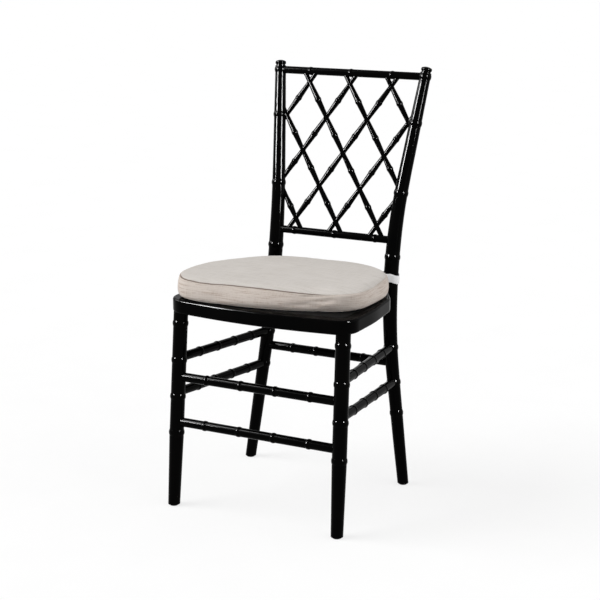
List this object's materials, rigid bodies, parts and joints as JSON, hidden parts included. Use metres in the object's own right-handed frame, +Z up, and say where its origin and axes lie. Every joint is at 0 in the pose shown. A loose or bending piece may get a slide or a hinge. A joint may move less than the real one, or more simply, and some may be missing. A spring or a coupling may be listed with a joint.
{
  "type": "cross back chair",
  "caption": "Gloss black turned wood dining chair with a crossed lattice back, rungs between splayed legs and a loose linen box cushion strapped to the rear posts.",
  "frame": {"origin": "on the floor, under the middle of the chair's box", "axes": "+Z up, the chair faces -Y, +X to the right of a viewer who looks along +Y at its front"},
  "size_m": [0.4322, 0.4923, 0.9192],
  "materials": {
    "lacquer": "gloss black lacquer",
    "plywood": "black stained plywood",
    "block": "raw sawn hardwood",
    "dowel": "raw turned beech",
    "steel": "zinc plated",
    "glide": "matt moulded",
    "webbing": "woven tape",
    "linen": "slubbed oatmeal linen"
  },
  "bodies": {
    "frame": {"left_front_leg": "lacquer", "right_front_leg": "lacquer", "left_rear_post": "lacquer", "right_rear_post": "lacquer", "front_rung_upper": "lacquer", "front_rung_lower": "lacquer", "left_rung_upper": "lacquer", "left_rung_lower": "lacquer", "right_rung_upper": "lacquer", "right_rung_lower": "lacquer", "rear_rung": "lacquer", "top_back_rail": "lacquer", "low_back_rail": "lacquer", "falling_slat_1": "lacquer", "falling_slat_2": "lacquer", "falling_slat_3": "lacquer", "falling_slat_4": "lacquer", "falling_slat_5": "lacquer", "rising_slat_1": "lacquer", "rising_slat_2": "lacquer", "rising_slat_3": "lacquer", "rising_slat_4": "lacquer", "rising_slat_5": "lacquer", "seat_front_rail": "lacquer", "seat_rear_rail": "lacquer", "seat_left_rail": "lacquer", "seat_right_rail": "lacquer", "seat_panel": "plywood", "front_left_corner_block": "block", "front_right_corner_block": "block", "rear_left_corner_block": "block", "rear_right_corner_block": "block", "front_left_seat_dowel": "dowel", "front_right_seat_dowel": "dowel", "rear_left_seat_dowel": "dowel", "rear_right_seat_dowel": "dowel", "left_leg_dowel": "dowel", "right_leg_dowel": "dowel", "left_post_bolt": "steel", "right_post_bolt": "steel", "front_left_panel_screw": "steel", "front_right_panel_screw": "steel", "rear_left_panel_screw": "steel", "rear_right_panel_screw": "steel", "front_left_glide": "glide", "front_right_glide": "glide", "rear_left_glide": "glide", "rear_right_glide": "glide", "left_strap": "webbing", "right_strap": "webbing"},
    "cushion": {"seat_cushion": "linen"}
  },
  "joints": [
    {"name": "cushion_flip", "type": "hinge", "parent": "frame", "child": "cushion", "pos_m": [0, 0.1045, 0.479], "axis": [-1, 0, 0], "range_deg": [0, 80]}
  ]
}
